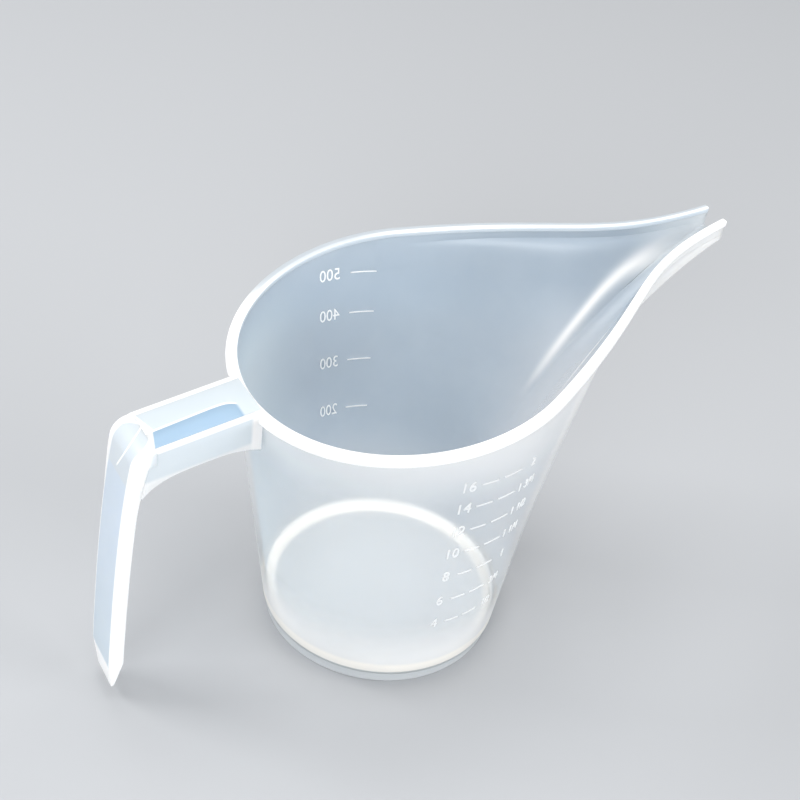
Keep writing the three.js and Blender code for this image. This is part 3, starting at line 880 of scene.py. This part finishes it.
def stations():
    """Points down the grip's outer face: the point, the way in, and the half width."""
    made = []
    for i in range(BEND_STEPS + 1):
        angle = math.atan2(1, ARM_SLOPE) - bend_angle * i / BEND_STEPS
        inward = Vector((-math.cos(angle), -math.sin(angle)))
        made.append((bend_centre - inward * BEND_RADIUS, inward, ARM_HALF_WIDTH))
    for i in range(1, FACE_STEPS + 1):
        t = i / FACE_STEPS
        point = bend_end * (1 - t) ** 2 + bow * 2 * t * (1 - t) + face_end * t * t
        heading = ((bow - bend_end) * (1 - t) + (face_end - bow) * t).normalized()
        share = min(t / NARROWING, 1)
        half = between(ARM_HALF_WIDTH, GRIP_HALF_WIDTH, share * share * (3 - 2 * share))
        made.append((point, Vector((heading.y, -heading.x)), half))
    return made


STATIONS = stations()
print("grip stations:", len(STATIONS), "bend:", round(math.degrees(bend_angle)), "degrees")


# %% Loft of the grip
CORNER_STEPS = 4
SHARP, STOCK_SHARP = math.radians(40), math.radians(35)


def oblong(face, back, half, ease):
    """A section between the face and the back, as an oblong with rounded corners."""
    deep = back - face
    inward = deep / deep.length
    ease = min(ease, deep.length * EASE_LIMIT)
    corners = ((face, inward, 1), (back, -inward, 1), (back, -inward, -1), (face, inward, -1))
    points = []
    for number, (end, into, side) in enumerate(corners):
        for k in range(CORNER_STEPS + 1):
            angle = math.pi / 2 * k / CORNER_STEPS
            cuts = [ease * (1 - math.cos(angle)), ease * (1 - math.sin(angle))]
            if number % 2:
                cuts.reverse()
            place = end + into * cuts[0]
            points.append((AXIS_X - place.x, side * (half - cuts[1]), place.y))
    return points


def lofted(name, sections, material):
    count = len(sections[0])
    vertices = [p for section in sections for p in section]
    faces = []
    for i in range(0, len(vertices) - count, count):
        for j in range(count):
            a, b = i + j, i + (j + 1) % count
            faces.append((a, b, b + count, a + count))
    faces += [tuple(range(count)), tuple(range(len(vertices) - count, len(vertices)))]
    made = closed_body(name, vertices, faces, material)
    made.data.set_sharp_from_angle(angle=SHARP)
    return made


root_reach = bend_start.x - GRIP_ROOT
root_face = Vector((root_reach, arm_top(root_reach)))
root_back = root_face - Vector((0, GRIP_THICKNESS * math.hypot(1, ARM_SLOPE)))
toe_face = Vector((HANDLE_REACH - TOE_TUCK, TOE_HEIGHT))
toe_back = toe_face + Vector((-1, TOE_SLANT)) * TOE_THICKNESS

# Two pale lines are painted on the bend's face: an arch, a painted highlight along the bend where
# the hollow under the arm ends, with the bend above it painted lighter, also painted light; and a
# thin one that slants across the bend.
ARCH_REACH, ARCH_BULGE, ARCH_HALF_WIDTH = 0.0812, 0.0078, 0.0081
ARCH_FADE, ARCH_FOOT = (0.0004, 0.0010), (0.0880, 0.0900)
SLANT_NORMAL, SLANT_OFFSET = (0.657, -0.622, -0.426), 0.09599
SLANT_FADE, SLANT_FOOT = (0.0001, 0.0003), (0.0845, 0.0860)
FRAME_FADE, TOE_FADE = (0.0062, 0.0070), (0.0125, 0.0150)  # the pale edge round the face
ROOT_BACK, ROOT_BACK_LEAN = 0.0865, 0.0025


def grip_paint(graph, x, y, z):
    off_centre = y.math("ABSOLUTE")
    edge = graph.ease(off_centre, *FRAME_FADE)
    toe = 1.0 - graph.ease(z, *TOE_FADE)
    panel = layered(graph, linear(196, 209, 219), (z, 0.02, 0.07, (201, 213, 225)),
                    (z, 0.0828, 0.0840, (204, 212, 218)))
    past = x * -1 - ((off_centre / ARCH_HALF_WIDTH) ** 3 * ARCH_BULGE + ARCH_REACH)
    arch = graph.line(past, ARCH_FADE) * graph.ease(z, *ARCH_FOOT)
    off = sum((value * part for value, part in zip((x, y, z), SLANT_NORMAL)), SLANT_OFFSET)
    slant = graph.line(off, SLANT_FADE) * graph.ease(z, *SLANT_FOOT)
    # Painted light: the bend above the arch is painted lighter.
    panel = graph.blend(graph.ease(past, -0.0012, -0.0004), linear(234, 240, 244), panel)
    whole = graph.blend((edge + toe + arch + slant).clip(), panel, linear(250, 251, 251))
    back = x + ROOT_BACK - graph.ease(z, 0.080, 0.0955) * ROOT_BACK_LEAN
    root = graph.ease(off_centre, 0.0090, 0.0093) * graph.ease(back, -0.0005, 0.0008)
    return graph.blend(root * graph.ease(z, 0.0790, 0.0810), whole, linear(222, 230, 237))


grip_milk = milky("grip_milk", grip_paint, see_through=0.0, scatter=0.4)
grip = lofted("grip_bar", [
    oblong(root_face, root_back, ARM_HALF_WIDTH, ROOT_EASE),
    *[oblong(face, face + inward * GRIP_THICKNESS, half, GRIP_EASE)
      for face, inward, half in STATIONS],
    oblong(toe_face, toe_back, TOE_HALF_WIDTH, TOE_EASE),
], grip_milk)
report(grip)

# %% [markdown]
# The web and the plates are flat, so each is drawn once in side view and extruded. A bevel
# rounds their edges a little, as the mould does, and these catch the thin white lines along the
# arm.

# %% Web and plates
PLATE_EASE, WEB_EASE = 0.0003, 0.0001
WEB_LAP = 0.0001  # the web runs this far into the plates
LOWER_STEPS, FLARE_STEPS = 24, 12


def extruded(name, outline_points, from_y, to_y, material, ease):
    """A plate drawn in reach and height, from one distance across to another."""
    shape = bmesh.new()
    near = [shape.verts.new((AXIS_X - r, from_y, z)) for r, z in outline_points]
    face = shape.faces.new(near)
    spun = bmesh.ops.extrude_face_region(shape, geom=[face])
    for vertex in (v for v in spun["geom"] if isinstance(v, bmesh.types.BMVert)):
        vertex.co.y = to_y
    made = outward(name, shape, bpy.data.meshes.new(name), material)
    soft = made.modifiers.new("soft_edges", "BEVEL")
    soft.width = ease
    soft.segments = 3
    soft.limit_method = "ANGLE"
    soft.angle_limit = SHARP
    applied(made)
    made.data.set_sharp_from_angle(angle=STOCK_SHARP)
    return made


def bezier(points, steps):
    """Points along a Bezier curve of any degree."""
    made = []
    for i in range(steps + 1):
        row = [Vector(p) for p in points]
        t = i / steps
        while len(row) > 1:
            row = [a.lerp(b, t) for a, b in zip(row, row[1:])]
        made.append(tuple(row[0]))
    return made


def low_edge(reach):
    return arm_top(reach) - PLATE_DEPTH


def plate_outline():
    back = [face + inward * (GRIP_THICKNESS - LAP) for face, inward, _ in STATIONS]
    corner_height = corner.y - PLATE_CORNER_DROP
    down = [p for p in back if p.y > corner_height]
    last = down[-1]
    corner_point = Vector((last.x + PLATE_CORNER_PAST, corner_height))
    flare_end = BAND_BACK + FLARE_LENGTH
    middle = (corner_point.x + flare_end) / 2
    lower = bezier([
        corner_point, corner_point + CORNER_PULL,
        (middle, low_edge(middle)), (flare_end, low_edge(flare_end)),
    ], LOWER_STEPS)
    flare = bezier([
        (flare_end, low_edge(flare_end)),
        (BAND_BACK + FLARE_EASE, low_edge(BAND_BACK + FLARE_EASE)),
        (WALL_BACK, low_edge(WALL_BACK) - FLARE_DEPTH),
    ], FLARE_STEPS)
    upper = [(WALL_BACK, arm_top(WALL_BACK)), tuple(root_face), tuple(root_back)]
    return upper + [tuple(p) for p in down] + lower + flare[1:]


ARM_ROOT = (BAND_BACK + 0.0020, BAND_BACK + 0.0030)  # the web is pale up to here
JOINT_FADE = (BAND_BACK + 0.0002, BAND_BACK + 0.0014)
EDGE_FADE, LOWER_FADE = (0.0002, 0.0009), (0.0085, 0.0100)  # down from the arm's top
HIDDEN_FADE = (0.0076, 0.0084)  # across, on the plate's inner side
LINE_CROSSING, LINE_LEAN, LINE_FADE = 0.0603, 0.04, (0.0002, 0.0006)
DIP_REACH, DIP_LENGTH, DIP_DEPTH = 0.0559, 0.0018, 0.0030
WEB_END, WEB_END_LEAN, WEB_CLEAR = (0.0799, 0.0802), 0.28, 0.30
BLUE, PALE = linear(168, 198, 224), linear(204, 213, 219)


def plate_paint(graph, x, y, z):
    drop = ARM_START - (-x - BAND_BACK) * ARM_SLOPE - z
    edge = 1.0 - graph.ease(drop, *EDGE_FADE)
    face = layered(graph, linear(217, 227, 234), (drop, *LOWER_FADE, (243, 246, 248)))
    hidden = graph.line(y, HIDDEN_FADE)
    joint = 1.0 - graph.ease(-x, *JOINT_FADE)
    return graph.blend((edge + hidden + joint).clip(), face, linear(254, 254, 254))


def left_plate_shows(graph, reach, y):
    """Distance in from the line where the left plate's lower edge shows through the web."""
    dip = math.e ** ((DIP_REACH - reach) / DIP_LENGTH) * DIP_DEPTH
    return y + (reach - LINE_CROSSING) * LINE_LEAN + dip


def web_paint(graph, x, y, z):
    reach = -x
    root = 1.0 - graph.ease(reach, *ARM_ROOT)
    shown = left_plate_shows(graph, reach, y)
    pale = graph.blend((root + graph.ease(shown, -0.0001, 0.0003)).clip(), BLUE, PALE)
    line = graph.line(shown, LINE_FADE) * (1.0 - root)
    end = graph.ease(reach - y.math("ABSOLUTE") * WEB_END_LEAN, *WEB_END)
    return graph.blend((line + end).clip(), pale, linear(252, 253, 253))


def web_clear(graph, x, y, z):
    blue = 1.0 - graph.ease(left_plate_shows(graph, -x, y), -0.0006, -0.0001)
    return WEB_CLEAR * graph.ease(-x, *ARM_ROOT) * blue


plate_milk = milky("plate_milk", plate_paint, see_through=0.18)
web_milk = milky("web_milk", web_paint, web_clear)
plate_inner = ARM_HALF_WIDTH - PLATE_THICKNESS
plates = [extruded(name, plate_outline(), *sides, plate_milk, PLATE_EASE) for name, *sides in (
    ("plate_right", -ARM_HALF_WIDTH, -plate_inner), ("plate_left", plate_inner, ARM_HALF_WIDTH),
)]
web = extruded("arm_top_web", [
    (WALL_BACK, arm_top(WALL_BACK)), tuple(root_face),
    (root_face.x, root_face.y - WEB_THICKNESS), (WALL_BACK, arm_top(WALL_BACK) - WEB_THICKNESS),
], -plate_inner - WEB_LAP, plate_inner + WEB_LAP, web_milk, WEB_EASE)
for piece in plates + [web]:
    report(piece)

# %% [markdown]
# ## The scales
#
# Two scales are moulded on the wall, millilitres on the far side and ounces with cups on the near
# one. Their strokes stand out a fifth of a millimetre. The far ones show inside the cup too,
# there reversed, so they go through the wall, while the near ones only sit on it. All are drawn
# flat, and one rule wraps the drawing round the wall. Each tick is the same small bar, put on a
# point and stretched to its own length and depth by Geometry Nodes. The numerals are plain text
# turned into a mesh.

# %% Rule that wraps a flat drawing round the wall
UNROLL_RADIUS = 0.0475  # the drawing's distances are true to size at this radius
STROKE, PROUD = 0.0004, 0.0002
SHALLOW = PROUD * 1.5  # depth of the near strokes
THROUGH = WALL + SHALLOW  # and of the far ones
NEAR_CLEAR = 0.45


def wrapped(graph, drawing):
    """Moves a drawing's points, as distance round, height and depth, onto the wall."""
    size = graph.inputs
    along, up, out = graph.split(graph.add("GeometryNodeInputPosition"))
    angle = along / UNROLL_RADIUS
    ahead, left = angle.math("COSINE"), angle.math("SINE")
    first = level_of(along * 0.0, up, size)
    x = radius_at(first, size) * ahead - size["Rim shift"] * first
    level = level_of(x, up, size)
    radius = radius_at(level, size) + out
    x = radius * ahead - size["Rim shift"] * level
    return moved_to(graph, drawing, graph.vector(x + AXIS_X, radius * left, up))


def round_wall(degrees):
    return math.radians(degrees) * UNROLL_RADIUS


def mark_paint(graph, x, y, z):
    return graph.blend(0.5, WHITE, linear(250, 252, 253))


def mark_clear(graph, x, y, z):
    return NEAR_CLEAR * (1.0 - graph.ease(y, -0.01, 0.01))


mark_white = milky("mark_white", mark_paint, mark_clear, scatter=0.0)

# %% Ticks of the three columns
ML_HEIGHTS = {200: 0.0478, 300: 0.0661, 400: 0.0835, 500: 0.0978}
OZ_HEIGHTS = {4: 0.0290, 6: 0.0400, 8: 0.0515, 10: 0.0620, 12: 0.0718, 14: 0.0815, 16: 0.0904}
CUPS = dict(zip(OZ_HEIGHTS, ("1/2", "3/4", "1", "1 1/4", "1 1/2", "1 3/4", "2")))
TICKS = (  # degrees round the wall from the front, length, depth, heights
    (77.2, 0.0085, THROUGH, ML_HEIGHTS),
    (-89.9, 0.0054, SHALLOW, OZ_HEIGHTS),
    (-80.4, 0.0064, SHALLOW, OZ_HEIGHTS),
)
STROKE_SIZES = {**SIZES, "Stroke": STROKE}


def tick_tree():
    graph = new_tree("ticks", STROKE_SIZES)
    bar = graph.add("GeometryNodeMeshCube", {
        "Size": graph.vector(1.0, graph.inputs["Stroke"], 1.0), "Vertices X": 9,
    })
    bar = graph.add("GeometryNodeTransform", {"Geometry": bar, "Translation": (0, 0, -0.5)})
    length, depth = (graph.add("GeometryNodeInputNamedAttribute", {"Name": label})
                     for label in ("length", "depth"))
    set_out = graph.add("GeometryNodeInstanceOnPoints", {
        "Points": graph.inputs["Geometry"], "Instance": bar,
        "Scale": graph.vector(length, 1.0, depth),
    })
    flat = graph.add("GeometryNodeRealizeInstances", {"Geometry": set_out})
    return finish_tree(graph, wrapped(graph, flat), mark_white)


def tick_points():
    rows = [(degrees, height, length, depth)
            for degrees, length, depth, heights in TICKS for height in heights.values()]
    mesh = bpy.data.meshes.new("tick_points")
    mesh.from_pydata([(round_wall(row[0]), row[1], PROUD) for row in rows], [], [])
    for label, column in (("length", 2), ("depth", 3)):
        values = [row[column] for row in rows]
        mesh.attributes.new(label, "FLOAT", "POINT").data.foreach_set("value", values)
    return mesh


ticks = grown("scale_ticks", tick_tree(), STROKE_SIZES, tick_points())
report(ticks)

# %% Numerals of the three columns
TEXT_HEIGHT, SMALL_HEIGHT = 0.0058, 0.0046


def flat_text(words, height, degrees, size, squeeze, depth):
    """Plain text as a mesh, centred on a place of the unrolled wall."""
    letters = bpy.data.curves.new("numeral", "FONT")
    letters.body = words
    letters.size = size
    letters.align_x, letters.align_y = "CENTER", "CENTER"
    letters.extrude = depth / 2
    letters.resolution_u = 3
    holder = placed("numeral", letters)
    mesh = worked_out(holder)
    bpy.data.objects.remove(holder)
    bpy.data.curves.remove(letters)
    shift = Vector((round_wall(degrees), height, PROUD - depth / 2))
    mesh.transform(Matrix.Translation(shift) @ Matrix.Diagonal((squeeze, 1, 1, 1)))
    return mesh


def joined(name, meshes):
    shape = bmesh.new()
    for mesh in meshes:
        shape.from_mesh(mesh)
        bpy.data.meshes.remove(mesh)
    bmesh.ops.remove_doubles(shape, verts=shape.verts[:], dist=WELD)
    bmesh.ops.recalc_face_normals(shape, faces=shape.faces[:])
    mesh = bpy.data.meshes.new(name)
    shape.to_mesh(mesh)
    shape.free()
    return mesh


def numeral_tree():
    graph = new_tree("numerals", SIZES)
    moved = wrapped(graph, graph.inputs["Geometry"])
    return finish_tree(graph, moved, mark_white, smooth=False)


ML_TEXT = (90.8, TEXT_HEIGHT, 0.85, THROUGH)  # degrees, size, squeeze, depth
OZ_TEXT = (-98.0, TEXT_HEIGHT, 0.85, SHALLOW)
CUP_TEXT = (-70.6, SMALL_HEIGHT, 0.8, SHALLOW)
texts = [flat_text(str(n), h, *ML_TEXT) for n, h in ML_HEIGHTS.items()]
texts += [flat_text(str(n), h, *OZ_TEXT) for n, h in OZ_HEIGHTS.items()]
texts += [flat_text(CUPS[n], h, *CUP_TEXT) for n, h in OZ_HEIGHTS.items()]
numerals = grown("scale_numerals", numeral_tree(), SIZES, joined("numerals", texts))
report(numerals)

# %% [markdown]
# ## Every piece rides on the body
#
# The CAD model keeps the collision shapes. Each visible piece is tied to the one body and set in
# place of the CAD regions that it stands for.

# %% Ride and replace
STANDS_FOR = [
    (wall, "wall_plastic", ["cup_wall", "spout"]),
    (rim, "thick_plastic", ["rim_flange"]),
    (foot, "thick_plastic", ["foot_ring"]),
    (floor_plate, "wall_plastic", ["cup_floor"]),
    (grip, "thick_plastic", ["grip"]),
    (plates[0], "wall_plastic", ["arm_plate_right"]),
    (plates[1], "wall_plastic", ["arm_plate_left"]),
    (web, "web_plastic", ["arm_web"]),
    (ticks, "thick_plastic", []),
    (numerals, "thick_plastic", []),
]
for piece, slot, nodes in STANDS_FOR:
    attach(piece, "root")
    if nodes:
        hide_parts(*nodes)
